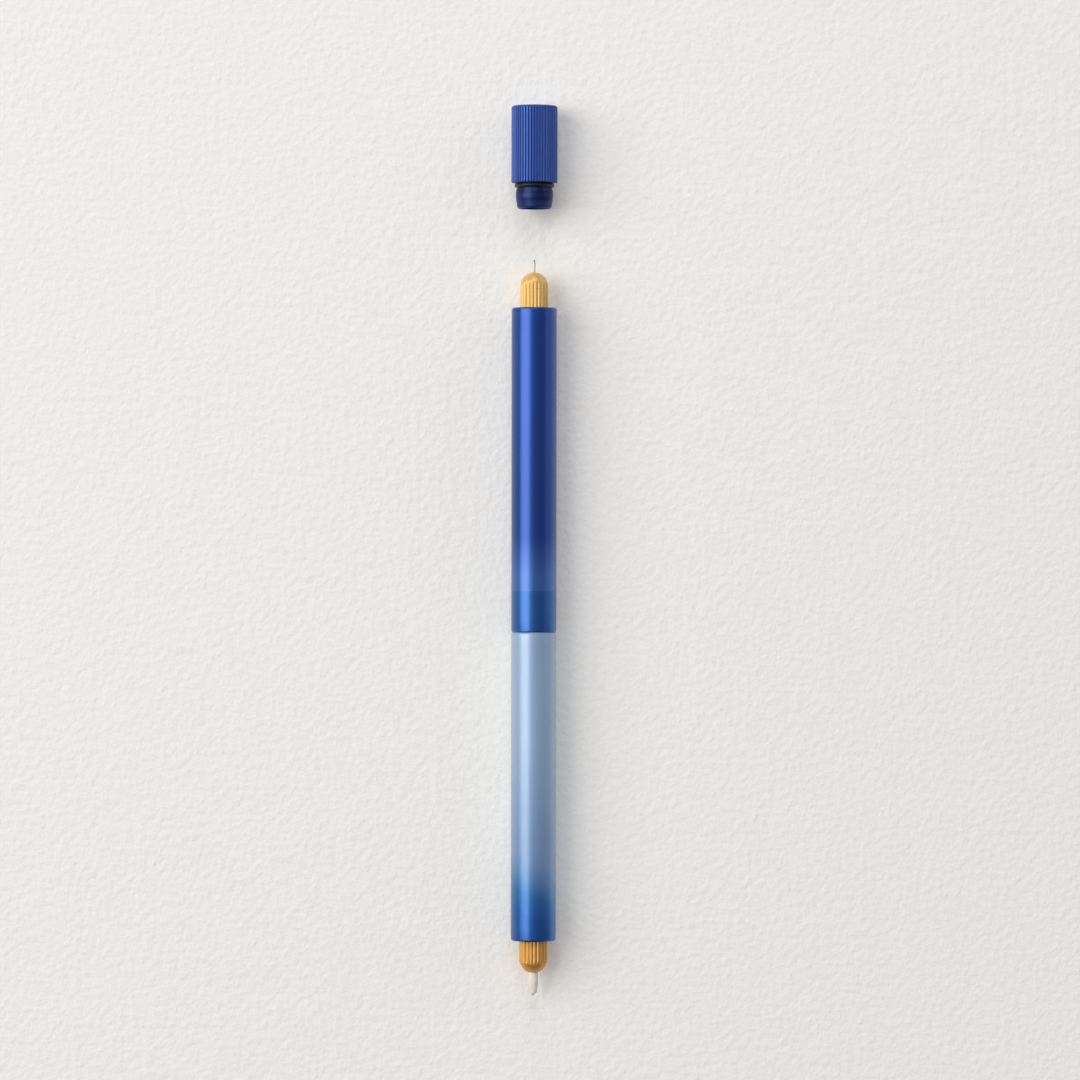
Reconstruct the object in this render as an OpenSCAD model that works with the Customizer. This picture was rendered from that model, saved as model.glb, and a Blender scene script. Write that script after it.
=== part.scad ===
// Double-ended technical pen: a needle point at one end, a fibre nib at the other, and a push-on cap.
// The pen lies along Y on the plane z = 0, with the needle end and its parked cap towards +Y.
// The origin is under the middle of the whole length. All sizes are in millimetres.

/* [Barrels] */
// Outside diameter of both barrels
barrel_d = 9.6; // [9.4:0.1:10.4]
// Length of the barrel that carries the needle
upper_barrel_l = 68.9; // [60:0.1:90]
// Length of the barrel that carries the fibre nib
lower_barrel_l = 65.5; // [60:0.1:90]
// Diameter of the ink chambers
chamber_d = 7.2; // [7:0.1:7.4]
// Bevel on the outer edge of each mouth
mouth_bevel = 0.2; // [0.1:0.05:0.25]
// Bevel on the outer edges where the two barrels meet
seam_bevel = 0.26; // [0.1:0.01:0.27]
// Length of the joint thread inside each barrel
joint_thread_l = 6.6; // [5:0.1:8]

/* [Cap] */
// Outside diameter over the ribs
cap_d = 9.8; // [9.6:0.1:10.6]
// Length of the ribbed head
cap_head_l = 16.3; // [15.5:0.1:20]
// Length of the spigot, with the seal
cap_spigot_l = 5.5; // [5:0.1:5.8]
// Diameter of the spigot where it is thickest
cap_spigot_d = 7.9; // [7.8:0.05:8]
// Number of ribs round the head
cap_ribs = 48; // [36:1:54]
// Depth of the grooves between the ribs
rib_groove_depth = 0.2; // [0.1:0.02:0.3]
// Width of the grooves between the ribs at the surface
rib_groove_w = 0.26; // [0.15:0.01:0.3]
// Distance from the barrel mouth to the cap's shoulder as the cap lies parked
cap_gap = 26.6; // [24:0.1:60]

/* [Noses] */
// Diameter of both noses
nose_d = 5.9; // [5.6:0.1:6]
// Length of the needle nose outside the barrel
upper_nose_l = 7.6; // [6:0.1:8.4]
// Length of the fibre nose outside the barrel
lower_nose_l = 7.15; // [6:0.05:7.6]
// Number of flutes round a nose
flutes = 24; // [18:1:28]

/* [Needle] */
// Outside diameter of the steel tube
needle_d = 0.5; // [0.4:0.05:0.6]
// Length of the needle outside the nose
needle_l = 2.6; // [2:0.1:3]

/* [Fibre nib] */
// Diameter of the nib
nib_d = 2.1; // [1.8:0.1:2.2]
// Length of the nib outside the nose
nib_l = 4.6; // [3.5:0.1:4.8]

/* [Hidden] */

// Clearance between parts that turn or slide on each other
running = 0.05;
// Looser clearance round the flange of a holder, and round a nose inside the cap
loose = 0.1;
// Overshoot of a cutting shape past the face that it cuts
cut = 0.5;

// Stations along the pen, from the fibre tip at the low end to the closed end of the cap
overall_l = nib_l + lower_nose_l + lower_barrel_l + upper_barrel_l + cap_gap + cap_head_l;
lower_mouth_y = -overall_l / 2 + nib_l + lower_nose_l;
seam_y = lower_mouth_y + lower_barrel_l;
upper_mouth_y = seam_y + upper_barrel_l;
cap_shoulder_y = upper_mouth_y + cap_gap;
// Height of the pen's centre line above the surface that it lies on
axis_z = max(cap_d, barrel_d) / 2;

// Turn of a barrel about its axis, so that a meshed barrel lies on the middle of a facet and not on a corner
barrel_turn = 3;

// Bore of a barrel, as depths from the mouth and radii
seal_seat_r = 4.3;
seal_seat_depth = 1.6;
mouth_inner_bevel = 0.12;
cap_bore_r = cap_spigot_d / 2 + running;
cap_bore_depth = 6.3;
pocket_r = 3.65;
ledge_depth = 7.5;
holder_thread_r = 3.2;
holder_bore_r = holder_thread_r + running;
holder_bore_end = 13;

// Nib holder behind the nose, as depths from the mouth
flange_r = pocket_r - loose;
flange_depth = 6.1;
flange_t = 0.8;
holder_neck_r = 2.85;
holder_thread_end = 12.9;
holder_tail_r = 2.6;
holder_tail_end = 15;
holder_core_r = 1.5;
flute_cut_r = 0.34;
flute_axis_r = nose_d / 2 + 0.18;
flute_start_depth = 5.6;

// Ring that seals the holder against the barrel's ledge
holder_ring_section = 0.6;

// Joint between the barrels
coupler_r = 3.85;
coupler_seat_r = coupler_r + running;
coupler_cup_r = 2.6;
coupler_cup_depth = 3;
coupler_groove_r = 3.3;
coupler_groove_l = 0.9;
coupler_groove_depth = 0.8;
joint_seat_r = 4.42;
joint_seat_depth = 0.5;
joint_ring_play = 0.02;
joint_ring_section = joint_seat_depth - 2 * joint_ring_play;

// Ink reservoirs
film_t = 0.1;
film_r = chamber_d / 2 - 0.2;
reservoir_front_depth = 15.3;
reservoir_end_gap = 0.2;
feed_hole_depth = 5;

// Needle assembly, as heights above the mouth and depths below it
needle_hole_r = 0.4;
needle_bore_r = 0.13;
needle_seat_depth = 2;
tip_stand_out = 0.3;
wick_r = 0.7;
wick_end_depth = 18;
hub_front = 3.4;
hub_end_depth = 14;

// Fibre nib
nib_clear_r = nib_d / 2 + running;
nib_end_depth = 18;
nib_tip_d = 1;
nib_straight_l = 1.9;
nib_slant = 43;
nib_point_x = -0.15;
collar_front = 3;
collar_end_depth = 14;

// Cap details, as heights above the shoulder and depths below it
cap_end_bevel = 0.28;
cap_shoulder_bevel = 0.12;
cap_bore_inner_r = nose_d / 2 + loose;
cap_tip_room = 0.9;
cap_bore_l = max(lower_nose_l + nib_l, upper_nose_l + needle_l) + cap_tip_room;
cap_drill_cone_l = 1.2;
cap_seal_section = 0.9;
cap_seal_r = seal_seat_r - running;
cap_seal_depth = 0.6;
cap_groove_end = 1.2;
// The spigot swells from its neck to a straight part, then tapers to its end as a lead-in
spigot_neck_step = 0.16;
spigot_swell_end = 2.1;
spigot_taper_start = 3.2;
spigot_taper_step = 0.32;
spigot_bevel = 0.3;

// Points round a circle, and round a ring's section or a flute. These only set how smooth a preview looks,
// because the shapes themselves are true curves
$fn = 72;
detail_points = 24;

// Places a part so that its +Z points out of a mouth: side is 1 at the needle end, -1 at the fibre end
module at_mouth(side) {
    mouth_y = side > 0 ? upper_mouth_y : lower_mouth_y;
    translate([0, mouth_y, axis_z]) rotate([-90 * side, 0, 0]) children();
}

// Places a part so that its +Z points from the joint between the barrels towards the needle end
module at_seam() {
    translate([0, seam_y, axis_z]) rotate([-90, 0, 0]) children();
}

// Places a part so that its +Z points from the cap's shoulder to its closed end
module at_cap() {
    translate([0, cap_shoulder_y, axis_z]) rotate([-90, 0, 0]) children();
}

// A tube or, with no inner radius, a rod between two heights
module tube(outer_r, inner_r, low, high) {
    difference() {
        translate([0, 0, low]) cylinder(h = high - low, r = outer_r);
        if (inner_r > 0) translate([0, 0, low - cut]) cylinder(h = high - low + 2 * cut, r = inner_r);
    }
}

// A round rubber ring with its outer radius, its thickness and the height of its middle
module o_ring(outer_r, section, height) {
    translate([0, 0, height]) rotate_extrude() translate([outer_r - section / 2, 0])
        circle(d = section, $fn = detail_points);
}

// Half section of a barrel, from its mouth at height 0 down to the joint
function barrel_section(length, seated) = concat(
    [
        [seal_seat_r + mouth_inner_bevel, 0],
        [barrel_d / 2 - mouth_bevel, 0],
        [barrel_d / 2, -mouth_bevel],
        [barrel_d / 2, -length + seam_bevel],
        [barrel_d / 2 - seam_bevel, -length]
    ],
    seated ? [
        [joint_seat_r, -length],
        [joint_seat_r, -length + joint_seat_depth],
        [coupler_seat_r, -length + joint_seat_depth]
    ] : [[coupler_seat_r, -length]],
    [
        [coupler_seat_r, -length + joint_thread_l + reservoir_end_gap],
        [chamber_d / 2, -length + joint_thread_l + reservoir_end_gap],
        [chamber_d / 2, -holder_bore_end],
        [holder_bore_r, -holder_bore_end],
        [holder_bore_r, -ledge_depth],
        [pocket_r, -ledge_depth],
        [pocket_r, -cap_bore_depth],
        [cap_bore_r, -cap_bore_depth],
        [cap_bore_r, -seal_seat_depth],
        [seal_seat_r, -seal_seat_depth],
        [seal_seat_r, -mouth_inner_bevel]
    ]
);

module barrel(length, seated) {
    rotate([0, 0, barrel_turn]) rotate_extrude() polygon(barrel_section(length, seated));
}

// Fluted nose with a round end, and the threaded holder behind it
module nib_holder(nose_l, hole_r) {
    dome_h = nose_l - nose_d / 2;
    ring_end = flange_depth + flange_t + holder_ring_section;
    difference() {
        union() {
            translate([0, 0, dome_h]) sphere(d = nose_d);
            tube(nose_d / 2, 0, -flange_depth, dome_h);
            tube(flange_r, 0, -flange_depth - flange_t, -flange_depth);
            tube(holder_neck_r, 0, -ring_end, -flange_depth - flange_t);
            tube(holder_thread_r, 0, -holder_thread_end, -ring_end);
            tube(holder_tail_r, 0, -holder_tail_end, -holder_thread_end);
        }
        tube(hole_r, 0, -holder_tail_end - cut, nose_l + cut);
        tube(holder_core_r, 0, -holder_tail_end - cut, hub_front);
        for (i = [0 : flutes - 1])
            rotate([0, 0, i * 360 / flutes])
                translate([flute_axis_r, 0, -flute_start_depth])
                    cylinder(h = flute_start_depth + nose_l, r = flute_cut_r, $fn = detail_points);
    }
}

// Fibre core of an ink reservoir, with a hole for the wick or the nib
module reservoir(barrel_l, feed_r) {
    low = -barrel_l + joint_thread_l + reservoir_end_gap;
    difference() {
        tube(film_r - film_t, 0, low, -reservoir_front_depth);
        tube(feed_r, 0, -reservoir_front_depth - feed_hole_depth, -reservoir_front_depth + cut);
    }
}

// Plastic film wrapped round an ink reservoir
module reservoir_film(barrel_l) {
    low = -barrel_l + joint_thread_l + reservoir_end_gap;
    tube(film_r, film_r - film_t, low, -reservoir_front_depth);
}

module lower_barrel() {
    color([0.62, 0.74, 0.86]) at_mouth(-1) barrel(lower_barrel_l, false);
}

module upper_barrel() {
    color([0.17, 0.29, 0.62]) at_mouth(1) barrel(upper_barrel_l, true);
}

// Threaded plug that joins the barrels and parts the two ink chambers
module centre_coupler() {
    groove_end = coupler_groove_depth + coupler_groove_l;
    color([0.75, 0.76, 0.78]) at_seam() difference() {
        union() {
            tube(coupler_seat_r, 0, -joint_thread_l, 0);
            tube(coupler_r, 0, 0, joint_thread_l);
        }
        tube(coupler_cup_r, 0, -joint_thread_l - cut, coupler_cup_depth - joint_thread_l);
        tube(coupler_cup_r, 0, joint_thread_l - coupler_cup_depth, joint_thread_l + cut);
        tube(coupler_seat_r + cut, coupler_groove_r, -groove_end, -coupler_groove_depth);
    }
}

// Ring in the coupler's groove, which seals it to the lower barrel
module lower_joint_o_ring() {
    section = coupler_seat_r - coupler_groove_r;
    middle = -coupler_groove_depth - coupler_groove_l / 2;
    color([0.06, 0.06, 0.06]) at_seam() o_ring(coupler_seat_r, section, middle);
}

// Ring in the upper barrel's end, which seals the joint and travels with that barrel
module upper_joint_o_ring() {
    outer_r = joint_seat_r - joint_ring_play;
    color([0.06, 0.06, 0.06]) at_seam() o_ring(outer_r, joint_ring_section, joint_seat_depth / 2);
}

module lower_reservoir() {
    color([0.86, 0.85, 0.8]) at_mouth(-1) reservoir(lower_barrel_l, nib_clear_r);
}

module upper_reservoir() {
    color([0.86, 0.85, 0.8]) at_mouth(1) reservoir(upper_barrel_l, wick_r + running);
}

module lower_reservoir_film() {
    color([0.92, 0.92, 0.94]) at_mouth(-1) reservoir_film(lower_barrel_l);
}

module upper_reservoir_film() {
    color([0.92, 0.92, 0.94]) at_mouth(1) reservoir_film(upper_barrel_l);
}

module upper_nib_holder() {
    color([0.87, 0.66, 0.38]) at_mouth(1) nib_holder(upper_nose_l, needle_hole_r);
}

module lower_nib_holder() {
    color([0.87, 0.66, 0.38]) at_mouth(-1) nib_holder(lower_nose_l, nib_clear_r);
}

// Ring between a holder's flange and the barrel's ledge
module holder_o_ring(side) {
    ring_height = -flange_depth - flange_t - holder_ring_section / 2;
    color([0.06, 0.06, 0.06]) at_mouth(side)
        o_ring(holder_neck_r + running + holder_ring_section, holder_ring_section, ring_height);
}

module upper_holder_o_ring() {
    holder_o_ring(1);
}

module lower_holder_o_ring() {
    holder_o_ring(-1);
}

// Plastic hub that holds the needle tube in front and the wick behind
module needle_hub() {
    color([0.9, 0.9, 0.88]) at_mouth(1) difference() {
        tube(holder_core_r, 0, -hub_end_depth, hub_front);
        tube(needle_d / 2, 0, -needle_seat_depth, hub_front + cut);
        tube(wick_r, 0, -hub_end_depth - cut, -needle_seat_depth);
    }
}

module needle_tube() {
    color([0.62, 0.62, 0.62]) at_mouth(1)
        tube(needle_d / 2, needle_bore_r, -needle_seat_depth, upper_nose_l + needle_l - tip_stand_out);
}

// Fine writing core that stands just out of the needle tube
module needle_tip() {
    round_h = upper_nose_l + needle_l - needle_bore_r;
    color([0.2, 0.2, 0.2]) at_mouth(1) union() {
        tube(needle_bore_r, 0, -needle_seat_depth, round_h);
        translate([0, 0, round_h]) sphere(r = needle_bore_r);
    }
}

// Fibre feed from the reservoir to the back of the needle tube
module needle_wick() {
    color([0.9, 0.89, 0.85]) at_mouth(1) tube(wick_r, 0, -wick_end_depth, -needle_seat_depth);
}

// Plastic collar in the holder that grips the fibre nib
module nib_collar() {
    color([0.9, 0.9, 0.88]) at_mouth(-1) tube(holder_core_r, nib_clear_r, -collar_end_depth, collar_front);
}

// Fibre nib in one piece, cut at a slant at its writing end
module fibre_nib() {
    taper_l = nib_l - nib_straight_l;
    tip_h = lower_nose_l + nib_l;
    color([0.93, 0.92, 0.89]) at_mouth(-1) difference() {
        union() {
            tube(nib_d / 2, 0, -nib_end_depth, tip_h - taper_l);
            translate([0, 0, tip_h - taper_l]) cylinder(h = taper_l, d1 = nib_d, d2 = nib_tip_d);
        }
        translate([nib_point_x, 0, tip_h]) rotate([0, nib_slant, 0]) translate([0, -nib_d, 0])
            cube([2 * nib_d, 2 * nib_d, 2 * nib_d]);
    }
}

// Seal ring below the cap's shoulder
module cap_o_ring() {
    color([0.05, 0.05, 0.05]) at_cap() o_ring(cap_seal_r, cap_seal_section, -cap_seal_depth);
}

// Half section of the cap as a solid: the spigot, the seal's groove and the ribbed head
function cap_section() =
    let (
        groove_floor_r = cap_seal_r - cap_seal_section,
        spigot_r = cap_spigot_d / 2,
        end_r = spigot_r - spigot_taper_step
    )
    [
        [0, -cap_spigot_l],
        [end_r - spigot_bevel, -cap_spigot_l],
        [end_r, -cap_spigot_l + spigot_bevel],
        [spigot_r, -spigot_taper_start],
        [spigot_r, -spigot_swell_end],
        [spigot_r - spigot_neck_step, -cap_groove_end],
        [groove_floor_r, -cap_groove_end],
        [groove_floor_r, 0],
        [cap_d / 2 - cap_shoulder_bevel, 0],
        [cap_d / 2, cap_shoulder_bevel],
        [cap_d / 2, cap_head_l - cap_end_bevel],
        [cap_d / 2 - cap_end_bevel, cap_head_l],
        [0, cap_head_l]
    ];

// Half section of the cap's bore, with the cone that the drill leaves
function cap_bore_section() = [
    [0, -cap_spigot_l - cut],
    [cap_bore_inner_r, -cap_spigot_l - cut],
    [cap_bore_inner_r, cap_bore_l],
    [0, cap_bore_l + cap_drill_cone_l]
];

// One V-shaped groove between two ribs, along the whole head
module rib_groove() {
    translate([0, 0, -cut]) linear_extrude(cap_head_l + 2 * cut) polygon([
        [cap_d / 2 - rib_groove_depth, 0],
        [cap_d / 2 + rib_groove_depth, -rib_groove_w],
        [cap_d / 2 + rib_groove_depth, rib_groove_w]
    ]);
}

// Ribbed cap in one piece with its hollow spigot
module cap_shell() {
    color([0.25, 0.36, 0.65]) at_cap() difference() {
        rotate_extrude() polygon(cap_section());
        rotate_extrude() polygon(cap_bore_section());
        for (i = [0 : cap_ribs - 1]) rotate([0, 0, i * 360 / cap_ribs]) rib_groove();
    }
}

lower_barrel();
centre_coupler();
lower_joint_o_ring();
lower_reservoir();
lower_reservoir_film();
upper_joint_o_ring();
upper_barrel();
upper_reservoir();
upper_reservoir_film();
upper_holder_o_ring();
upper_nib_holder();
needle_hub();
needle_tube();
needle_tip();
needle_wick();
lower_holder_o_ring();
lower_nib_holder();
nib_collar();
fibre_nib();
cap_o_ring();
cap_shell();
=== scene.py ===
"""Looks of a double-ended technical pen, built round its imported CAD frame.

Lengths are in millimetres until a mesh is made. A station is a place along the pen in the frame. A part's
heights run along the pen from its own zero: outwards from a barrel's mouth, from the cap's shoulder towards
its closed end, or from the seam between the barrels for the coupler.
"""

import math
from collections import namedtuple

import bmesh
import bpy
import numpy as np
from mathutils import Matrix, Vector


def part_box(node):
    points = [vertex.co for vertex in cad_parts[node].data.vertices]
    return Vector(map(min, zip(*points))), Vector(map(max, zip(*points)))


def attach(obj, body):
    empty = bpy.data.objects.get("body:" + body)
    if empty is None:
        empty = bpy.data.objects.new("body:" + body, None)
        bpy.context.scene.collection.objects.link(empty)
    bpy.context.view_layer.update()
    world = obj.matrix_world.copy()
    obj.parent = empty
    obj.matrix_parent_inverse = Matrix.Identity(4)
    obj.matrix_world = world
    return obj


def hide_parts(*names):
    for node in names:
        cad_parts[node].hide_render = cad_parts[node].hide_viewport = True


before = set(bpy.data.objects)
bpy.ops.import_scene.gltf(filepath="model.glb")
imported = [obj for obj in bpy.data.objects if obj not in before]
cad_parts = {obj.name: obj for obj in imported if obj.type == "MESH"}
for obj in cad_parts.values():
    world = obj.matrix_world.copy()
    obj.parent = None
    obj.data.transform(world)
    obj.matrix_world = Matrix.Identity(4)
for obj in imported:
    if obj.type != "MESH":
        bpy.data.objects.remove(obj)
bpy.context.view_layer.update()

MM = 0.001
TURN = 2 * math.pi

# ---------------------------------------------------------------- sizes taken from the frame


def span(node):
    """Lowest and highest station of a CAD node along the pen."""
    low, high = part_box(node)
    return low.y / MM, high.y / MM


def radius_of(node):
    """Outside radius of a CAD node."""
    low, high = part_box(node)
    return (high.x - low.x) / 2 / MM


LOWER_MOUTH, SEAM = span("lower_barrel")
UPPER_MOUTH = span("upper_barrel")[1]
UPPER_NOSE_L = span("upper_nib_holder")[1] - UPPER_MOUTH
LOWER_NOSE_L = LOWER_MOUTH - span("lower_nib_holder")[0]
NEEDLE_TUBE_H = span("needle_tube")[1] - UPPER_MOUTH
NEEDLE_TIP_H = span("needle_tip")[1] - UPPER_MOUTH
NIB_TIP_H = LOWER_MOUTH - span("fibre_nib")[0]
NIB_END_H = LOWER_MOUTH - span("fibre_nib")[1]
CAP_SPIGOT_END, CAP_END = span("cap_shell")
AXIS_Z = (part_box("cap_shell")[0].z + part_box("cap_shell")[1].z) / 2 / MM
BARREL_R = radius_of("upper_barrel")
CAP_R = radius_of("cap_shell")
CAP_RING_R = radius_of("cap_o_ring")
NIB_R = radius_of("fibre_nib")
NEEDLE_R = radius_of("needle_tube")
TIP_R = radius_of("needle_tip")
COUPLER_SEAT_R = radius_of("centre_coupler")
JOINT_THREAD_L = span("centre_coupler")[1] - SEAM

# ---------------------------------------------------------------- sizes of the details

RUNNING = 0.05

# Barrel bores, as radii and depths from the mouth
SEAL_SEAT_R = 4.3
SEAL_SEAT_DEPTH = 1.6
CAP_BORE_DEPTH = 6.3
POCKET_R = 3.65
LEDGE_DEPTH = 7.5
HOLDER_BORE_R = 3.25
HOLDER_BORE_END = 13.0
CHAMBER_R = 3.6
JOINT_SEAT_R = 4.42
JOINT_SEAT_DEPTH = 0.5
JOINT_BORE_L = JOINT_THREAD_L + 0.2
MOUTH_BEVEL_R = 0.22
MOUTH_BEVEL_H = 0.32
SEAM_BEVEL = 0.26

# Noses, the holders behind them and their sealing rings
NOSE_R = 2.95
NEEDLE_HOLE_R = 0.4
FLUTES = 24
FLUTE_CUT_R = 0.34
FLUTE_AXIS_R = 3.13
FLANGE_R = 3.55
FLANGE_DEPTH = 6.1
FLANGE_T = 0.8
NECK_R = 2.85
HOLDER_THREAD_R = 3.2
HOLDER_THREAD_END = 12.9
TAIL_R = 2.6
TAIL_END = 15.0
CORE_R = 1.5
CORE_FRONT = 3.4
RING_SECTION = 0.6
FLASH = 0.02

# Needle and fibre nib
NEEDLE_BORE_R = 0.13
NEEDLE_SEAT = -2.0
NIB_STRAIGHT_L = 1.9
NIB_TIP_R = 0.42
NIB_LEAN = 0.16
NIB_SLANT = 43
NIB_POINT_X = -0.1

# Cap
CAP_RING_SECTION = 0.9
CAP_RING_DEPTH = 0.6
CAP_SHOULDER = sum(span("cap_o_ring")) / 2 + CAP_RING_DEPTH
CAP_HEAD_L = CAP_END - CAP_SHOULDER
CAP_SPIGOT_L = CAP_SHOULDER - CAP_SPIGOT_END
CAP_RIBS = 48
CAP_GROOVE_DEPTH = 0.2
CAP_GROOVE_W = 0.26
CAP_BORE_R = 3.05
CAP_BORE_L = 12.65
CAP_CONE_L = 1.2
CAP_NECK_R = CAP_RING_R - CAP_RING_SECTION
CAP_NECK_END = 1.2
SPIGOT_R = 3.95
SPIGOT_SWELL_START_R = 3.79
SPIGOT_SWELL_END = 2.1
SPIGOT_TAPER_START = 3.2
SPIGOT_END_R = 3.63
SPIGOT_BEVEL = 0.3
CAP_END_BEVEL = 0.28
CAP_SHOULDER_BEVEL = 0.12

# Threads, with the rise and the crest as shares of the pitch
FINE_PITCH = 0.75
FINE_THREAD_H = 0.28
THREAD_RISE = 0.3
THREAD_CREST = 0.16

# Coupler
COUPLER_R = 3.85
COUPLER_NECK_L = 0.75
CUP_R = 2.6
CUP_DEPTH = 3.0
SEAL_GROOVE_R = 3.3
SEAL_GROOVE_DEPTH = 0.8
SEAL_GROOVE_L = 0.9

# A radius outside every piece, where nothing is cut
UNCUT_R = 99.0

# How many faces the turned meshes have round the pen
BARREL_FACES = 180
NOSE_FACES = 10 * FLUTES
CAP_FACES = 12 * CAP_RIBS
RING_FACES = 144
COUPLER_FACES = 144
NIB_FACES = 64
ROD_FACES = 48

# How many steps their curves have along the pen
DOME_STEPS = 24
RING_STEPS = 28
NIB_STEPS = 24
NIB_TIP_STEPS = 6

# Edges turned by more than this many degrees stay sharp
SHARP_ANGLE = 38

# ---------------------------------------------------------------- outlines and turned meshes

Ring = namedtuple("Ring", "radius height cut")


def rounded(corners, closed=False, steps=4):
    """Outline through (radius, height, rounding) corners, with an arc at each corner that has a rounding."""
    outline = []
    for i, (radius, height, rounding) in enumerate(corners):
        here = Vector((radius, height))
        if not rounding or (not closed and i in (0, len(corners) - 1)):
            outline.append(tuple(here))
            continue
        back = (Vector(corners[i - 1][:2]) - here).normalized()
        on = (Vector(corners[(i + 1) % len(corners)][:2]) - here).normalized()
        half = back.angle(on) / 2
        centre = here + (back + on).normalized() * rounding / math.sin(half)
        start = here + back * rounding / math.tan(half) - centre
        end = here + on * rounding / math.tan(half) - centre
        sweep = math.pi - 2 * half
        for step in range(steps + 1):
            share = step / steps
            spoke = start * math.sin((1 - share) * sweep) + end * math.sin(share * sweep)
            outline.append(tuple(centre + spoke / math.sin(sweep)))
    return outline


def rings(outline, cut=None, step=None):
    """Rings along an outline, with any stretch longer than step divided. A cut lowers their radius."""
    made = []
    for i, (radius, height) in enumerate(outline):
        if i and step:
            last_radius, last_height = outline[i - 1]
            parts = math.ceil(math.hypot(radius - last_radius, height - last_height) / step)
            for part in range(1, parts):
                share = part / parts
                middle_radius = last_radius + (radius - last_radius) * share
                made.append(Ring(middle_radius, last_height + (height - last_height) * share, cut))
        made.append(Ring(radius, height, cut))
    return made


def turned(name, ring_list, around, origin, side=1, closed=True):
    """Mesh turned round the pen's axis from the origin's station. Side is 1 if it points to the cap's end."""
    angles = np.arange(around) * TURN / around
    verts, starts, sizes, faces = [], [], [], []
    for ring in ring_list:
        count = 1 if ring.radius == 0 else around
        radius = np.full(count, float(ring.radius))
        if ring.cut and count > 1:
            radius = np.minimum(radius, ring.cut(angles, ring.height))
        across = radius * np.cos(angles[:count])
        upward = -side * radius * np.sin(angles[:count])
        station = (origin + side * ring.height) * MM
        starts.append(len(verts))
        sizes.append(count)
        verts.extend((x * MM, station, (AXIS_Z + z) * MM) for x, z in zip(across, upward, strict=True))
    for i in range(len(ring_list) - (0 if closed else 1)):
        j = (i + 1) % len(ring_list)
        for k in range(around):
            n = (k + 1) % around
            if sizes[i] == 1:
                faces.append((starts[i], starts[j] + k, starts[j] + n))
            elif sizes[j] == 1:
                faces.append((starts[i] + k, starts[j], starts[i] + n))
            else:
                faces.append((starts[i] + k, starts[j] + k, starts[j] + n, starts[i] + n))
    return solid(name, verts, faces)


def solid(name, verts, faces):
    """Object with a closed mesh, smooth except at its sharp edges."""
    mesh = bpy.data.meshes.new(name)
    mesh.from_pydata(verts, [], faces)
    work = bmesh.new()
    work.from_mesh(mesh)
    bmesh.ops.recalc_face_normals(work, faces=work.faces)
    work.to_mesh(mesh)
    work.free()
    mesh.shade_smooth()
    mesh.set_sharp_from_angle(angle=math.radians(SHARP_ANGLE))
    piece = bpy.data.objects.new(name, mesh)
    bpy.context.scene.collection.objects.link(piece)
    return piece


def ridge_wave(phase, rise, crest):
    """Height from 0 to 1 of a ridge with soft corners, over a phase from 0 to 1."""
    phase = phase % 1.0
    flat = np.clip(np.minimum(phase, 2 * rise + crest - phase) / rise, 0, 1)
    return flat * flat * (3 - 2 * flat)


def thread(crest_r, low, high, lead_in=0.5, run_out=0.35):
    """Cut that leaves a fine right-handed thread between two heights, and the root radius beyond them."""

    def cut(angles, height):
        ridge = ridge_wave(angles / TURN - height / FINE_PITCH, THREAD_RISE, THREAD_CREST)
        room = min((height - low) / lead_in, (high - height) / run_out)
        return crest_r - FINE_THREAD_H + np.minimum(ridge, max(0.0, room)) * FINE_THREAD_H

    return cut


def grooves(count, floor_r, width, slope_r):
    """Cut that leaves V-shaped grooves, width across where the floor has risen by slope_r."""

    def cut(angles, height):
        pitch = TURN / count
        off_centre = np.abs((angles + pitch / 2) % pitch - pitch / 2) * floor_r
        return floor_r + off_centre * slope_r / (width / 2)

    return cut


def flutes(count, cutter_r, axis_r, start):
    """Cut that leaves round-bottomed flutes above a height."""

    def cut(angles, height):
        if height < start:
            return np.full(len(angles), UNCUT_R)
        pitch = TURN / count
        off = np.abs((angles + pitch / 2) % pitch - pitch / 2)
        reach = cutter_r**2 - (axis_r * np.sin(off)) ** 2
        return np.where(reach > 0, axis_r * np.cos(off) - np.sqrt(np.maximum(reach, 0)), UNCUT_R)

    return cut


# ---------------------------------------------------------------- pieces


def placed(piece, body, node, material):
    """The finished piece, on its body, in place of its CAD node."""
    piece.data.materials.append(material)
    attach(piece, body)
    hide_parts(node)


def barrel(name, length, origin, side, seated):
    """Barrel tube with its bevels and its stepped bore."""
    outside = rounded(
        [
            (SEAL_SEAT_R + 0.1, 0, 0),
            (BARREL_R - MOUTH_BEVEL_R, 0, 0.03),
            (BARREL_R, -MOUTH_BEVEL_H, 0.06),
            (BARREL_R, -length + SEAM_BEVEL, 0.06),
            (BARREL_R - SEAM_BEVEL, -length, 0.03),
            (JOINT_SEAT_R if seated else COUPLER_SEAT_R, -length, 0),
        ]
    )
    seat = [(JOINT_SEAT_R, -length + JOINT_SEAT_DEPTH), (COUPLER_SEAT_R, -length + JOINT_SEAT_DEPTH)]
    inside = [
        (COUPLER_SEAT_R, -length + JOINT_BORE_L),
        (CHAMBER_R, -length + JOINT_BORE_L),
        (CHAMBER_R, -HOLDER_BORE_END),
        (HOLDER_BORE_R, -HOLDER_BORE_END),
        (HOLDER_BORE_R, -LEDGE_DEPTH),
        (POCKET_R, -LEDGE_DEPTH),
        (POCKET_R, -CAP_BORE_DEPTH),
        (SPIGOT_R + RUNNING, -CAP_BORE_DEPTH),
        (SPIGOT_R + RUNNING, -SEAL_SEAT_DEPTH),
        (SEAL_SEAT_R, -SEAL_SEAT_DEPTH),
        (SEAL_SEAT_R, -0.1),
    ]
    ring_list = rings(outside, step=2.5) + rings((seat if seated else []) + inside, step=4)
    return turned(name, ring_list, BARREL_FACES, origin, side)


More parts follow.
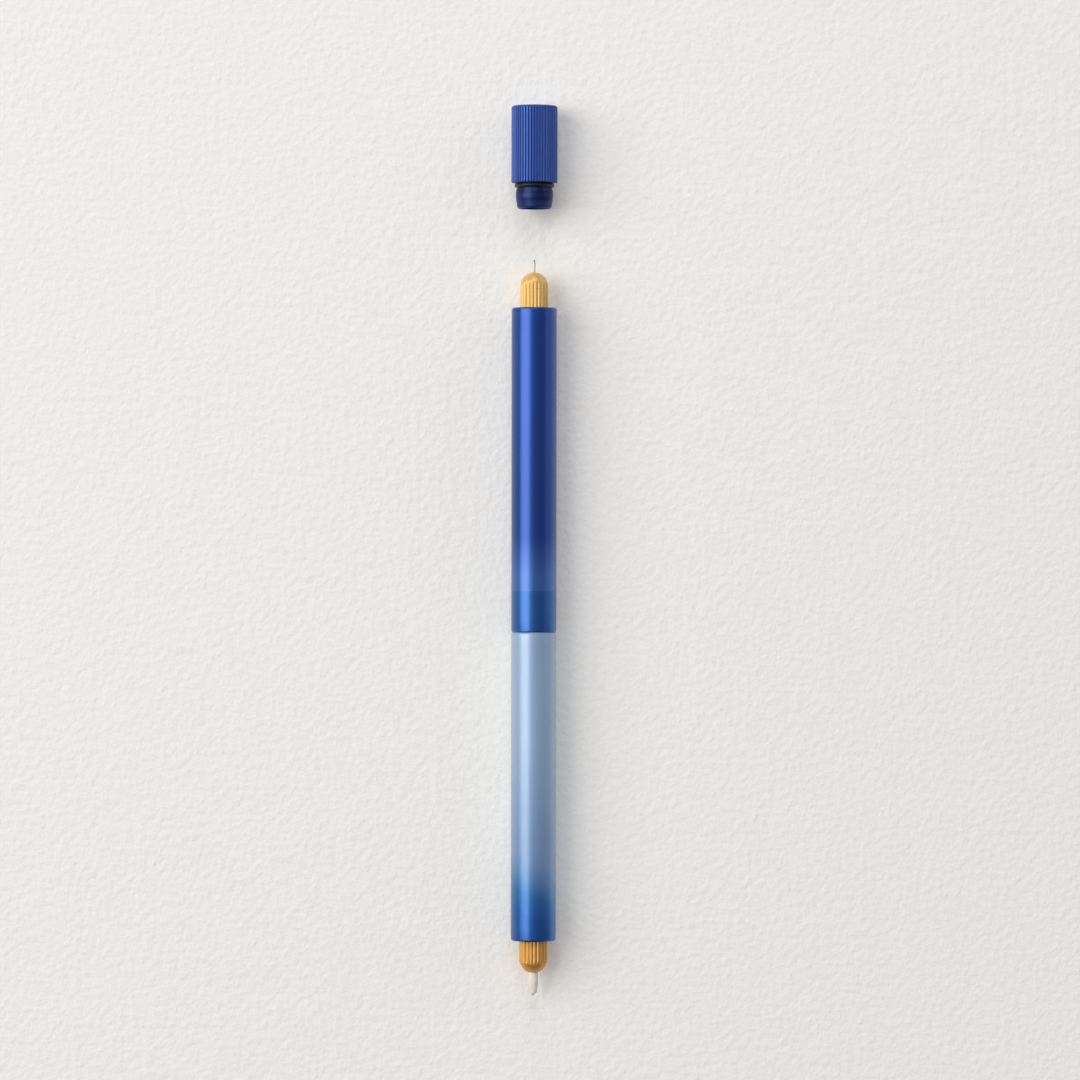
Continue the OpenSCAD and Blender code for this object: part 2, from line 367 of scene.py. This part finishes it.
def nose(name, nose_l, hole_r, origin, side):
    """Brass nose with its flutes and round end, and the threaded holder behind it, in one piece."""
    dome_h = nose_l - NOSE_R
    hole_angle = math.asin((hole_r + 0.06) / NOSE_R)
    dome = []
    for step in range(DOME_STEPS + 1):
        angle = hole_angle + (math.pi / 2 - hole_angle) * step / DOME_STEPS
        dome.append((NOSE_R * math.sin(angle), dome_h + NOSE_R * math.cos(angle)))
    ring_end = -FLANGE_DEPTH - FLANGE_T - RING_SECTION
    cut = flutes(FLUTES, FLUTE_CUT_R, FLUTE_AXIS_R, -FLANGE_DEPTH + 0.5)
    shank = dome + [(NOSE_R, 0.0), (NOSE_R, -FLANGE_DEPTH + 0.52), (NOSE_R, -FLANGE_DEPTH + 0.48)]
    flange = rounded(
        [
            (NOSE_R, -FLANGE_DEPTH, 0),
            (FLANGE_R, -FLANGE_DEPTH, 0.12),
            (FLANGE_R, -FLANGE_DEPTH - FLANGE_T, 0.08),
            (NECK_R, -FLANGE_DEPTH - FLANGE_T, 0),
            (NECK_R, ring_end, 0),
            (HOLDER_THREAD_R - FINE_THREAD_H, ring_end, 0),
        ]
    )
    screw = thread(HOLDER_THREAD_R, -HOLDER_THREAD_END, ring_end)
    screwed = [(HOLDER_THREAD_R, ring_end - 0.02), (HOLDER_THREAD_R, -HOLDER_THREAD_END + 0.02)]
    tail = rounded(
        [
            (HOLDER_THREAD_R - FINE_THREAD_H, -HOLDER_THREAD_END, 0),
            (TAIL_R, -HOLDER_THREAD_END, 0),
            (TAIL_R, -TAIL_END, 0.25),
            (CORE_R, -TAIL_END, 0),
            (CORE_R, CORE_FRONT, 0),
            (hole_r, CORE_FRONT, 0),
            (hole_r, dome_h + math.sqrt(NOSE_R**2 - hole_r**2) - 0.06, 0),
        ]
    )
    ring_list = rings(shank, cut=cut, step=0.6) + rings(flange)
    ring_list += rings(screwed, cut=screw, step=0.07) + rings(tail, step=5)
    return turned(name, ring_list, NOSE_FACES, origin, side)


def seal_ring(name, outer_r, section, origin):
    """Moulded rubber ring with the fine parting line round its outside."""
    middle_r = outer_r - section / 2 - FLASH
    ring_list = []
    for step in range(RING_STEPS):
        angle = TURN * step / RING_STEPS
        reach = section / 2 + (FLASH if step == 0 else 0.0)
        ring_list.append(Ring(middle_r + reach * math.cos(angle), reach * math.sin(angle), None))
    return turned(name, ring_list, RING_FACES, origin)


def rod(name, radius, low, high, tip_rounding, origin, bore_r=0.0):
    """Thin rod with a rounded tip, or a tube if it has a bore."""
    if bore_r:
        corners = [
            (bore_r, low, 0),
            (radius, low, 0),
            (radius, high, tip_rounding),
            (bore_r, high, tip_rounding / 2),
        ]
        return turned(name, rings(rounded(corners, closed=True, steps=6), step=3), ROD_FACES, origin)
    corners = [(0, low, 0), (radius, low, 0), (radius, high, tip_rounding), (0, high, 0)]
    return turned(name, rings(rounded(corners, steps=8), step=3), ROD_FACES, origin, closed=False)


def fibre_nib(name, origin, side=-1):
    """Fibre nib: a straight root, a taper and a tip that is cut at a slant on one side."""
    taper_start = LOWER_NOSE_L + NIB_STRAIGHT_L
    outline = [(0, NIB_END_H), (NIB_R - 0.1, NIB_END_H), (NIB_R, NIB_END_H + 0.1), (NIB_R, 0.0)]
    outline += [(NIB_R, LOWER_NOSE_L - 0.4), (NIB_R, taper_start - 0.5)]
    for step in range(NIB_STEPS + 1):
        share = step / NIB_STEPS
        radius = NIB_R - (NIB_R - NIB_TIP_R) * share**1.25
        outline.append((radius, taper_start + (NIB_TIP_H - taper_start) * share))
    for step in range(1, NIB_TIP_STEPS + 1):
        outline.append((NIB_TIP_R * (1 - step / NIB_TIP_STEPS), NIB_TIP_H))
    piece = turned(name, rings(outline), NIB_FACES, origin, side, closed=False)
    slope = math.tan(math.radians(NIB_SLANT))
    for vertex in piece.data.vertices:
        height = side * (vertex.co.y / MM - origin)
        lean = NIB_LEAN * max(0, height - taper_start) / (NIB_TIP_H - taper_start)
        across = vertex.co.x / MM + lean
        vertex.co.x = across * MM
        past = across - NIB_POINT_X
        limit = NIB_TIP_H - (past * slope if past > 0 else past**2)
        vertex.co.y = (origin + side * min(height, limit)) * MM
    return piece


def cap(name, origin):
    """Cap in one piece: the ribbed head, the seal's groove, the tapering spigot and the bore."""
    head = rounded(
        [
            (0, CAP_HEAD_L, 0),
            (CAP_R - CAP_END_BEVEL, CAP_HEAD_L, 0.08),
            (CAP_R, CAP_HEAD_L - CAP_END_BEVEL, 0.1),
            (CAP_R, CAP_SHOULDER_BEVEL, 0.06),
            (CAP_R - CAP_SHOULDER_BEVEL, 0, 0.04),
            (CAP_NECK_R, 0, 0),
        ]
    )
    ribs = grooves(CAP_RIBS, CAP_R - CAP_GROOVE_DEPTH, CAP_GROOVE_W, CAP_GROOVE_DEPTH)
    spigot = rounded(
        [
            (CAP_NECK_R, -CAP_NECK_END, 0),
            (SPIGOT_SWELL_START_R, -CAP_NECK_END, 0.06),
            (SPIGOT_R, -SPIGOT_SWELL_END, 0.9),
            (SPIGOT_R, -SPIGOT_TAPER_START, 6),
            (SPIGOT_END_R, -CAP_SPIGOT_L + SPIGOT_BEVEL, 0.25),
            (SPIGOT_END_R - SPIGOT_BEVEL, -CAP_SPIGOT_L, 0.06),
            (CAP_BORE_R + 0.1, -CAP_SPIGOT_L, 0),
            (CAP_BORE_R, -CAP_SPIGOT_L + 0.1, 0),
            (CAP_BORE_R, CAP_BORE_L, 0),
            (0, CAP_BORE_L + CAP_CONE_L, 0),
        ],
        steps=8,
    )
    ring_list = rings(head, cut=ribs, step=5.5) + rings(spigot, step=3)
    return turned(name, ring_list, CAP_FACES, origin, closed=False)


def coupler(name, origin):
    """Plug that joins the barrels, with its thread, its seal groove and a cup at each end."""
    upper = rounded(
        [
            (0, JOINT_THREAD_L - CUP_DEPTH, 0),
            (CUP_R, JOINT_THREAD_L - CUP_DEPTH, 0.1),
            (CUP_R, JOINT_THREAD_L, 0.1),
            (COUPLER_R - FINE_THREAD_H, JOINT_THREAD_L, 0.05),
        ]
    )
    screw = thread(COUPLER_R, COUPLER_NECK_L, JOINT_THREAD_L - 0.1)
    screwed = [(COUPLER_R, JOINT_THREAD_L - 0.12), (COUPLER_R, COUPLER_NECK_L + 0.05)]
    lower = rounded(
        [
            (COUPLER_R - FINE_THREAD_H, COUPLER_NECK_L, 0),
            (COUPLER_R, COUPLER_NECK_L - 0.15, 0),
            (COUPLER_R, 0, 0),
            (COUPLER_SEAT_R, 0, 0),
            (COUPLER_SEAT_R, -SEAL_GROOVE_DEPTH, 0),
            (SEAL_GROOVE_R, -SEAL_GROOVE_DEPTH, 0),
            (SEAL_GROOVE_R, -SEAL_GROOVE_DEPTH - SEAL_GROOVE_L, 0),
            (COUPLER_SEAT_R, -SEAL_GROOVE_DEPTH - SEAL_GROOVE_L, 0),
            (COUPLER_SEAT_R, -JOINT_THREAD_L, 0.15),
            (CUP_R, -JOINT_THREAD_L, 0.1),
            (CUP_R, CUP_DEPTH - JOINT_THREAD_L, 0.1),
            (0, CUP_DEPTH - JOINT_THREAD_L, 0),
        ]
    )
    ring_list = rings(upper, step=2) + rings(screwed, cut=screw, step=0.07) + rings(lower, step=3)
    return turned(name, ring_list, COUPLER_FACES, origin, closed=False)


# ---------------------------------------------------------------- materials


class Paint:
    """A Principled material under construction."""

    def __init__(self, name, roughness, metallic=0.0, **sockets):
        self.material = bpy.data.materials.new(name)
        self.material.use_nodes = True
        self.tree = self.material.node_tree
        self.shader = self.tree.nodes["Principled BSDF"]
        self.shader.inputs["Roughness"].default_value = roughness
        self.shader.inputs["Metallic"].default_value = metallic
        for socket, value in sockets.items():
            self.shader.inputs[socket.replace("_", " ")].default_value = value
        self.place = self.node("ShaderNodeTexCoord").outputs["Object"]

    def feed(self, socket, value):
        """Puts a number, a colour or another node's output into a socket."""
        if isinstance(value, bpy.types.NodeSocket):
            self.tree.links.new(value, socket)
        else:
            socket.default_value = value

    def node(self, kind, settings=None, **inputs):
        made = self.tree.nodes.new(kind)
        for name, value in (settings or {}).items():
            setattr(made, name, value)
        for name, value in inputs.items():
            self.feed(made.inputs[name.replace("_", " ")], value)
        return made

    def math(self, operation, *values):
        made = self.node("ShaderNodeMath", {"operation": operation})
        for socket, value in zip(made.inputs, values, strict=False):
            self.feed(socket, value)
        return made.outputs[0]

    def noise(self, scale, detail=2.0, stretch=(1, 1, 1)):
        """Noise with features of about 1 / scale metres, drawn out along axes with a small stretch."""
        place = self.node("ShaderNodeMapping", Vector=self.place, Scale=stretch).outputs[0]
        return self.node("ShaderNodeTexNoise", Vector=place, Scale=scale, Detail=detail).outputs[0]

    def remap(self, value, low, high, new_low, new_high):
        limits = {"From_Min": low, "From_Max": high, "To_Min": new_low, "To_Max": new_high}
        return self.node("ShaderNodeMapRange", Value=value, **limits).outputs[0]

    def spread(self, noise, low, high):
        """Takes a noise, which mostly lies between 0.3 and 0.7, to a range of its own."""
        return self.remap(noise, 0.3, 0.7, low, high)

    def along_pen(self, start, end, slant=0.0):
        """Share of the way from one station to another, with the line across the pen tilted by a slope."""
        split = self.node("ShaderNodeSeparateXYZ", Vector=self.place)
        tilted = self.math("MULTIPLY_ADD", split.outputs["X"], slant, split.outputs["Y"])
        return self.remap(tilted, start * MM, end * MM, 0, 1)

    def ramp(self, value, stops):
        """Colour ramp with (position, linear colour) stops."""
        made = self.node("ShaderNodeValToRGB", Fac=value)
        elements = made.color_ramp.elements
        while len(elements) < len(stops):
            elements.new(1.0)
        for element, (position, colour) in zip(elements, stops, strict=True):
            element.position = position
            element.color = (*colour, 1.0)
        return made.outputs[0]

    def vary(self, colour, value, amount):
        """Colour made lighter and darker by a noise."""
        made = self.node("ShaderNodeVectorMath", {"operation": "SCALE"})
        self.feed(made.inputs[0], colour)
        self.feed(made.inputs["Scale"], self.spread(value, 1 - amount, 1 + amount))
        return made.outputs[0]

    def mix(self, share, first, second):
        made = self.node("ShaderNodeMix", {"data_type": "RGBA"})
        self.feed(made.inputs[0], share)
        self.feed(made.inputs[6], first if isinstance(first, bpy.types.NodeSocket) else (*first, 1))
        self.feed(made.inputs[7], second if isinstance(second, bpy.types.NodeSocket) else (*second, 1))
        return made.outputs[2]

    def surface(self, socket, value):
        self.feed(self.shader.inputs[socket], value)

    def bump(self, height, strength, distance):
        raised = self.node("ShaderNodeBump", Height=height, Strength=strength, Distance=distance)
        self.surface("Normal", raised.outputs[0])


def linear(red, green, blue):
    """Linear colour of an sRGB colour given from 0 to 255."""
    shares = (red / 255, green / 255, blue / 255)
    return tuple(s / 12.92 if s <= 0.04045 else ((s + 0.055) / 1.055) ** 2.4 for s in shares)


def anodised(name, start, end, slant, dyes_and_painted_light, roughness, coat, turned_to=None):
    """Bead-blasted aluminium under a dyed oxide skin. The stops are (station, colour, metallic) along the
    pen: the colours of the dye, and on the cap's spigot also painted shade and painted light.

    Below the station turned_to, if there is one, faint tool marks run round the pen.
    """
    paint = Paint(name, roughness, Coat_Weight=coat, Coat_Roughness=0.27, Coat_IOR=1.6)
    along = paint.along_pen(start, end, slant)
    stops = [((station - start) / (end - start), colour, metallic) for station, colour, metallic in dyes_and_painted_light]
    dye_and_painted_light = paint.ramp(along, [(share, colour) for share, colour, _ in stops])
    metal = paint.ramp(along, [(share, (metallic,) * 3) for share, _, metallic in stops])
    cloud = paint.noise(140, detail=3, stretch=(1, 0.35, 1))
    blast = paint.noise(9000, detail=2)
    if turned_to is not None:
        marks = paint.noise(850, detail=2, stretch=(0.15, 1, 0.15))
        dye_and_painted_light = paint.mix(paint.along_pen(turned_to, turned_to - 0.1), dye_and_painted_light, paint.vary(dye_and_painted_light, marks, 0.55))
    paint.surface("Base Color", paint.vary(paint.vary(dye_and_painted_light, cloud, 0.04), blast, 0.03))
    paint.surface("Metallic", metal)
    paint.surface("Roughness", paint.spread(blast, roughness - 0.03, roughness + 0.03))
    paint.bump(blast, 0.1, 0.000012)
    return paint.material


def brass(name, colour, shade, metallic):
    """Turned brass with fine tool marks, slightly deeper in patches."""
    paint = Paint(name, 0.4, metallic=metallic)
    tool = paint.noise(2600, detail=3, stretch=(0.05, 1, 0.05))
    patch = paint.noise(420, detail=3)
    mixed = paint.mix(paint.remap(patch, 0.35, 0.65, 0, 1), colour, shade)
    paint.surface("Base Color", paint.vary(mixed, tool, 0.05))
    paint.surface("Roughness", paint.spread(tool, 0.36, 0.46))
    paint.bump(tool, 0.15, 0.000008)
    return paint.material


def steel(name, colour, roughness):
    """Ground metal with fine marks round the pen."""
    paint = Paint(name, roughness, metallic=1.0)
    grind = paint.noise(7000, detail=2, stretch=(0.1, 1, 0.1))
    paint.surface("Base Color", paint.vary(colour, grind, 0.08))
    paint.surface("Roughness", paint.spread(grind, roughness - 0.06, roughness + 0.08))
    paint.bump(grind, 0.15, 0.000006)
    return paint.material


def rubber(name):
    """Black rubber with a faint bloom and a fine moulded skin."""
    paint = Paint(name, 0.42, Specular_IOR_Level=0.5)
    skin = paint.noise(3500, detail=3)
    bloom = paint.noise(500, detail=3)
    share = paint.remap(bloom, 0.4, 0.75, 0, 0.5)
    paint.surface("Base Color", paint.mix(share, (0.006, 0.006, 0.008), (0.02, 0.02, 0.022)))
    paint.surface("Roughness", paint.spread(skin, 0.36, 0.5))
    paint.bump(skin, 0.2, 0.00001)
    return paint.material


def fibre(name, colour, shade, tip_start=None, tip_end=None, tip_colour=None):
    """Pressed fibre with strands along the pen, and a darker tip if one is given."""
    paint = Paint(name, 0.75, Sheen_Weight=0.25, Sheen_Roughness=0.5)
    strands = paint.noise(5200, detail=3, stretch=(1, 0.06, 1))
    base = paint.mix(paint.remap(strands, 0.35, 0.7, 0, 1), colour, shade)
    if tip_colour:
        base = paint.mix(paint.along_pen(tip_start, tip_end), base, tip_colour)
    paint.surface("Base Color", base)
    paint.bump(strands, 0.35, 0.00002)
    return paint.material


def plastic(name, colour, roughness):
    """Moulded plastic with a faint flow texture."""
    paint = Paint(name, roughness)
    flow = paint.noise(900, detail=2, stretch=(1, 0.3, 1))
    paint.surface("Base Color", paint.vary(colour, flow, 0.03))
    paint.surface("Roughness", paint.spread(flow, roughness - 0.05, roughness + 0.05))
    paint.bump(flow, 0.1, 0.00001)
    return paint.material


# ---------------------------------------------------------------- the pen

DARK_BLUE = (0.012, 0.068, 0.32)
AZURE = (0.024, 0.13, 0.41)
LAVENDER = (0.055, 0.16, 0.46)
PALE_BLUE = (0.36, 0.495, 0.66)
CAP_BLUE = (0.036, 0.098, 0.385)
# Darkest colour of the cap's spigot: a navy dye deepened with painted shade from the shoulder above it.
SPIGOT_NAVY_AND_PAINTED_SHADE = (0.007, 0.018, 0.1)
DYE_STEP = -8.6

upper_blue = anodised(
    "dark blue anodised aluminium", SEAM, UPPER_MOUTH, 0.0,
    [
        (SEAM, AZURE, 1.0),
        (DYE_STEP - 0.1, AZURE, 1.0),
        (DYE_STEP + 0.1, LAVENDER, 0.85),
        (DYE_STEP + 3.5, LAVENDER, 0.85),
        (DYE_STEP + 11.5, DARK_BLUE, 1.0),
    ],
    0.42, 0.55,
)
lower_blue = anodised(
    "pale blue anodised aluminium", LOWER_MOUTH, SEAM, 0.4,
    [
        (LOWER_MOUTH, (0.01, 0.11, 0.39), 1.0),
        (LOWER_MOUTH + 5, (0.012, 0.125, 0.43), 1.0),
        (LOWER_MOUTH + 9.5, (0.03, 0.18, 0.47), 0.85),
        (LOWER_MOUTH + 13, (0.115, 0.275, 0.53), 0.65),
        (LOWER_MOUTH + 17, (0.22, 0.355, 0.57), 0.5),
        (LOWER_MOUTH + 30, (0.3, 0.43, 0.62), 0.42),
        (LOWER_MOUTH + 42, PALE_BLUE, 0.4),
        (SEAM, PALE_BLUE, 0.4),
    ],
    0.46, 0.7,
)
cap_blue = anodised(
    "blue anodised cap", CAP_SPIGOT_END, CAP_END, 0.0,
    [
        # The spigot's stops are its navy dye plus painted light: darkest just under the shoulder as painted
        # shade from it, and painted lighter towards the spigot's end.
        (CAP_SPIGOT_END, (0.02, 0.042, 0.18), 0.9),
        (CAP_SHOULDER - 3.4, (0.012, 0.03, 0.14), 0.9),
        (CAP_SHOULDER - 2.2, SPIGOT_NAVY_AND_PAINTED_SHADE, 0.95),
        (CAP_SHOULDER - 0.02, SPIGOT_NAVY_AND_PAINTED_SHADE, 0.95),
        (CAP_SHOULDER + 0.02, CAP_BLUE, 0.65),
    ],
    0.57, 0.25, turned_to=CAP_SHOULDER - CAP_NECK_END,
)
upper_brass = brass("turned brass", (0.89, 0.555, 0.175), (0.86, 0.51, 0.15), 0.36)
# The lower nose has a darker copy of the same brass: its darker colour is painted shade.
brass_in_painted_shade = brass("turned brass darkened with painted shade", (0.82, 0.43, 0.1), (0.74, 0.36, 0.075), 0.58)
seal_rubber = rubber("black rubber")
needle_metal = steel("needle steel", (0.64, 0.61, 0.57), 0.42)
plug_metal = steel("plain aluminium", (0.78, 0.79, 0.8), 0.34)
white_plastic = plastic("white plastic", linear(226, 225, 219), 0.45)
film_plastic = plastic("clear film", (0.85, 0.87, 0.9), 0.12)
nib_fibre = fibre(
    "nib fibre", linear(255, 246, 229), linear(247, 235, 213),
    LOWER_MOUTH - NIB_TIP_H + 0.9, LOWER_MOUTH - NIB_TIP_H + 0.1, linear(164, 163, 160),
)
core_fibre = fibre("reservoir fibre", linear(232, 229, 220), linear(214, 210, 199))
tip_core = plastic("needle core", (0.02, 0.02, 0.022), 0.5)

placed(
    barrel("upper_barrel_tube", UPPER_MOUTH - SEAM, UPPER_MOUTH, 1, True),
    "upper_barrel", "upper_barrel", upper_blue,
)
placed(
    barrel("lower_barrel_tube", SEAM - LOWER_MOUTH, LOWER_MOUTH, -1, False),
    "lower_barrel", "lower_barrel", lower_blue,
)
placed(
    nose("upper_nose", UPPER_NOSE_L, NEEDLE_HOLE_R, UPPER_MOUTH, 1),
    "upper_nib_holder", "upper_nib_holder", upper_brass,
)
placed(
    nose("lower_nose", LOWER_NOSE_L, NIB_R + RUNNING, LOWER_MOUTH, -1),
    "lower_nib_holder", "lower_nib_holder", brass_in_painted_shade,
)
placed(
    rod("needle_sleeve", NEEDLE_R, NEEDLE_SEAT, NEEDLE_TUBE_H, 0.05, UPPER_MOUTH, bore_r=NEEDLE_BORE_R),
    "upper_nib_holder", "needle_tube", needle_metal,
)
placed(
    rod("needle_point", TIP_R, NEEDLE_SEAT, NEEDLE_TIP_H, 0.12, UPPER_MOUTH),
    "upper_nib_holder", "needle_tip", tip_core,
)
placed(fibre_nib("fibre_point", LOWER_MOUTH), "fibre_nib", "fibre_nib", nib_fibre)
placed(cap("cap_body", CAP_SHOULDER), "cap", "cap_shell", cap_blue)
placed(
    seal_ring("cap_seal", CAP_RING_R, CAP_RING_SECTION, CAP_SHOULDER - CAP_RING_DEPTH),
    "cap_o_ring", "cap_o_ring", seal_rubber,
)
for node in ("upper_joint_o_ring", "upper_holder_o_ring", "lower_holder_o_ring"):
    low, high = span(node)
    placed(
        seal_ring(node.replace("o_ring", "seal"), radius_of(node), high - low, (low + high) / 2),
        node, node, seal_rubber,
    )
placed(coupler("coupler_plug", SEAM), "lower_barrel", "centre_coupler", plug_metal)

for node, material in {
    "lower_joint_o_ring": seal_rubber,
    "lower_reservoir": core_fibre,
    "upper_reservoir": core_fibre,
    "lower_reservoir_film": film_plastic,
    "upper_reservoir_film": film_plastic,
    "needle_hub": white_plastic,
    "needle_wick": core_fibre,
    "nib_collar": white_plastic,
}.items():
    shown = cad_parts[node].data.materials
    shown.clear()
    shown.append(material)

# ---------------------------------------------------------------- paper, light and camera


def paper(name):
    """Pale cold-pressed paper with a fine tooth and faint mottling. A faint glow keeps its shadows light."""
    glow = {"Emission_Color": (1.0, 0.9, 0.77, 1.0), "Emission_Strength": 0.18}
    paint = Paint(name, 0.9, Specular_IOR_Level=0.2, **glow)
    mottle = paint.noise(160, detail=4)
    grain = paint.noise(650, detail=5)
    colour = paint.vary(linear(237, 235, 229), mottle, 0.012)
    paint.surface("Base Color", paint.vary(colour, grain, 0.012))
    paint.bump(grain, 0.9, 0.00034)
    return paint.material


PAPER_SIZE = 4000

bpy.ops.mesh.primitive_plane_add(size=PAPER_SIZE * MM)
floor = bpy.context.active_object
floor.name = "paper"
floor.data.materials.append(paper("pale paper"))


def area_light(name, direction, distance, size, energy):
    """Rectangular light that faces the pen from a direction. Its distance and size are in metres."""
    data = bpy.data.lights.new(name, "AREA")
    data.shape = "RECTANGLE"
    data.size, data.size_y = size
    data.energy = energy
    light = bpy.data.objects.new(name, data)
    light.location = Vector(direction).normalized() * distance
    light.rotation_euler = (-light.location).to_track_quat("-Z", "Y").to_euler()
    bpy.context.scene.collection.objects.link(light)


area_light("key", (-0.70, 0.21, 0.68), 2.0, (1.5, 1.83), 30.0)
area_light("fill", (0.0, 0.77, 0.64), 1.8, (0.55, 1.4), 7.0)
area_light("bounce", (0.9, 0.35, 0.3), 1.5, (1.2, 0.6), 2.0)

# The room is bluish, lightest overhead and darkest low down beyond the nib's end. Its brightness in a
# direction is the level plus the dot product of the direction and the slope.
ROOM_SLOPE = (0.04, 0.12, 0.24)
ROOM_LEVEL = 0.05
ROOM_TINT = (0.86, 0.97, 1.22)

world = bpy.data.worlds.new("room")
world.use_nodes = True
room = world.node_tree
direction = room.nodes.new("ShaderNodeTexCoord")
slope = room.nodes.new("ShaderNodeVectorMath")
slope.operation = "DOT_PRODUCT"
slope.inputs[1].default_value = ROOM_SLOPE
level = room.nodes.new("ShaderNodeMath")
level.operation = "ADD"
level.use_clamp = True
level.inputs[1].default_value = ROOM_LEVEL
room.links.new(direction.outputs["Generated"], slope.inputs[0])
room.links.new(slope.outputs["Value"], level.inputs[0])
tint = room.nodes.new("ShaderNodeVectorMath")
tint.operation = "SCALE"
tint.inputs[0].default_value = ROOM_TINT
room.links.new(level.outputs[0], tint.inputs["Scale"])
room.links.new(tint.outputs["Vector"], room.nodes["Background"].inputs["Color"])
bpy.context.scene.world = world
bpy.context.scene.view_settings.view_transform = "Standard"

CAMERA_LENS = 180
SENSOR = 36
VIEW_WIDTH = 229.5
CAMERA_X = 1.3
CAMERA_Y = 2.32
CAMERA_ROLL = 0.09
camera_data = bpy.data.cameras.new("camera")
camera_data.lens = CAMERA_LENS
camera_data.sensor_width = SENSOR
camera = bpy.data.objects.new("camera", camera_data)
camera_z = AXIS_Z + VIEW_WIDTH * CAMERA_LENS / SENSOR
camera.location = Vector((CAMERA_X, CAMERA_Y, camera_z)) * MM
camera.rotation_euler = (0, 0, math.radians(CAMERA_ROLL))
bpy.context.scene.collection.objects.link(camera)
bpy.context.scene.camera = camera
